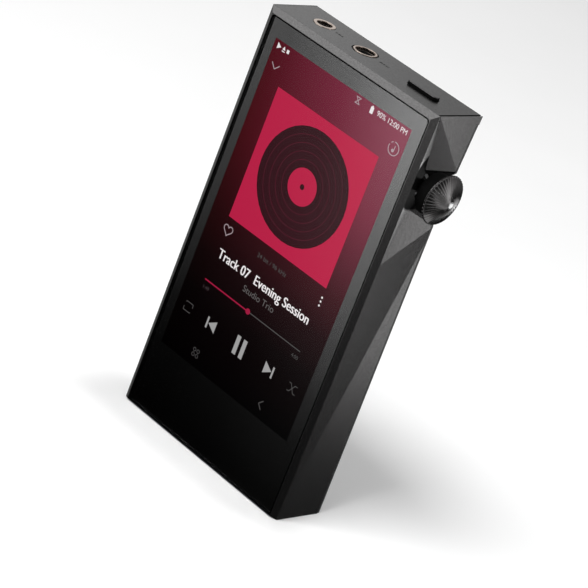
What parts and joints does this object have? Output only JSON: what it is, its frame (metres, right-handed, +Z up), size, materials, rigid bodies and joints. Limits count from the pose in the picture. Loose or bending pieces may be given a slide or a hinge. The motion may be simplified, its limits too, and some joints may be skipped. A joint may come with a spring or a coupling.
{
  "type": "digital audio player",
  "caption": "Pocket digital audio player: metal body with a full glass front, faceted right side with a recessed fluted volume knob, and headphone jacks and a power key on top.",
  "frame": {"origin": "centre of the body's flat bottom face", "axes": "+Z up along the body's height, screen faces -Y, +X towards the volume knob"},
  "size_m": [0.0645, 0.0164, 0.1091],
  "materials": {
    "anodised_body": "fine bead-blasted anodised",
    "rear_panel": "satin dark anodised",
    "cover_glass": "clear polished",
    "black_print": "glossy black print",
    "screen": "screen",
    "black_adhesive": "matte black",
    "white_plastic": "satin white",
    "circuit_board": "solder mask",
    "flex_film": "copper-toned film",
    "frame_metal": "milled",
    "steel": "stamped",
    "brass_fittings": "turned",
    "rose_gold": "polished rose gold plate",
    "black_plastic": "moulded",
    "chip_epoxy": "moulded epoxy",
    "capacitor_body": "moulded",
    "switch_plastic": "moulded",
    "battery_wrap": "foil wrap",
    "wire_red": "insulation",
    "knob_metal": "polished black anodised, fluted",
    "knob_tip": "polished",
    "light_plastic": "translucent"
  },
  "bodies": {
    "player_body": {"amplifier_chips": "chip_epoxy", "antenna_flex": "flex_film", "back_cover": "rear_panel", "back_gasket": "black_adhesive", "backlight_unit": "white_plastic", "battery_cell": "battery_wrap", "battery_connector": "black_plastic", "battery_leads": "wire_red", "battery_protection_board": "circuit_board", "bezel_mask": "black_print", "board_flex": "flex_film", "board_screws": "steel", "board_standoffs": "brass_fittings", "dac_chips": "chip_epoxy", "display_driver_board": "circuit_board", "display_flex": "flex_film", "display_panel": "screen", "encoder_body": "black_plastic", "encoder_bracket": "steel", "encoder_bushing": "brass_fittings", "encoder_nut": "brass_fittings", "front_glass": "cover_glass", "glass_gasket": "black_adhesive", "io_board": "circuit_board", "jack_3_5_body": "black_plastic", "jack_3_5_contacts": "brass_fittings", "jack_3_5_ring": "rose_gold", "jack_4_4_body": "black_plastic", "jack_4_4_collar": "black_plastic", "jack_4_4_contacts": "brass_fittings", "jack_4_4_ring": "rose_gold", "knob_light_ring": "light_plastic", "main_board": "circuit_board", "main_housing": "anodised_body", "memory_chips": "chip_epoxy", "microsd_socket": "steel", "mid_frame": "frame_metal", "mid_frame_screws": "steel", "power_capacitors": "capacitor_body", "power_key_bracket": "steel", "power_switch": "switch_plastic", "processor": "chip_epoxy", "shield_can_audio": "steel", "shield_can_digital": "steel", "side_key_board": "circuit_board", "side_switches": "switch_plastic", "status_led": "light_plastic", "top_cap": "anodised_body", "top_cap_gasket": "black_adhesive", "usb_c_shell": "steel", "usb_c_tongue": "black_plastic", "wireless_module": "chip_epoxy"},
    "knob": {"volume_knob": "knob_metal", "knob_center_disc": "knob_tip", "encoder_shaft": "steel"},
    "power_key": {"power_button": "anodised_body"},
    "previous_key": {"previous_button": "anodised_body"},
    "play_key": {"play_button": "anodised_body"},
    "next_key": {"next_button": "anodised_body"}
  },
  "joints": [
    {"name": "volume_turn", "type": "hinge", "parent": "player_body", "child": "knob", "pos_m": [0.03, 0, 0.089], "axis": [1, 0, 0], "continuous": true},
    {"name": "power_press", "type": "slide", "parent": "player_body", "child": "power_key", "axis": [0, 0, -1], "range_m": [0, 0.0004], "stiffness_N_per_m": 900, "springref_m": -0.0004},
    {"name": "previous_press", "type": "slide", "parent": "player_body", "child": "previous_key", "axis": [1, 0, 0], "range_m": [0, 0.0003], "stiffness_N_per_m": 900, "springref_m": -0.0004},
    {"name": "play_press", "type": "slide", "parent": "player_body", "child": "play_key", "axis": [1, 0, 0], "range_m": [0, 0.0003], "stiffness_N_per_m": 900, "springref_m": -0.0004},
    {"name": "next_press", "type": "slide", "parent": "player_body", "child": "next_key", "axis": [1, 0, 0], "range_m": [0, 0.0003], "stiffness_N_per_m": 900, "springref_m": -0.0004}
  ]
}
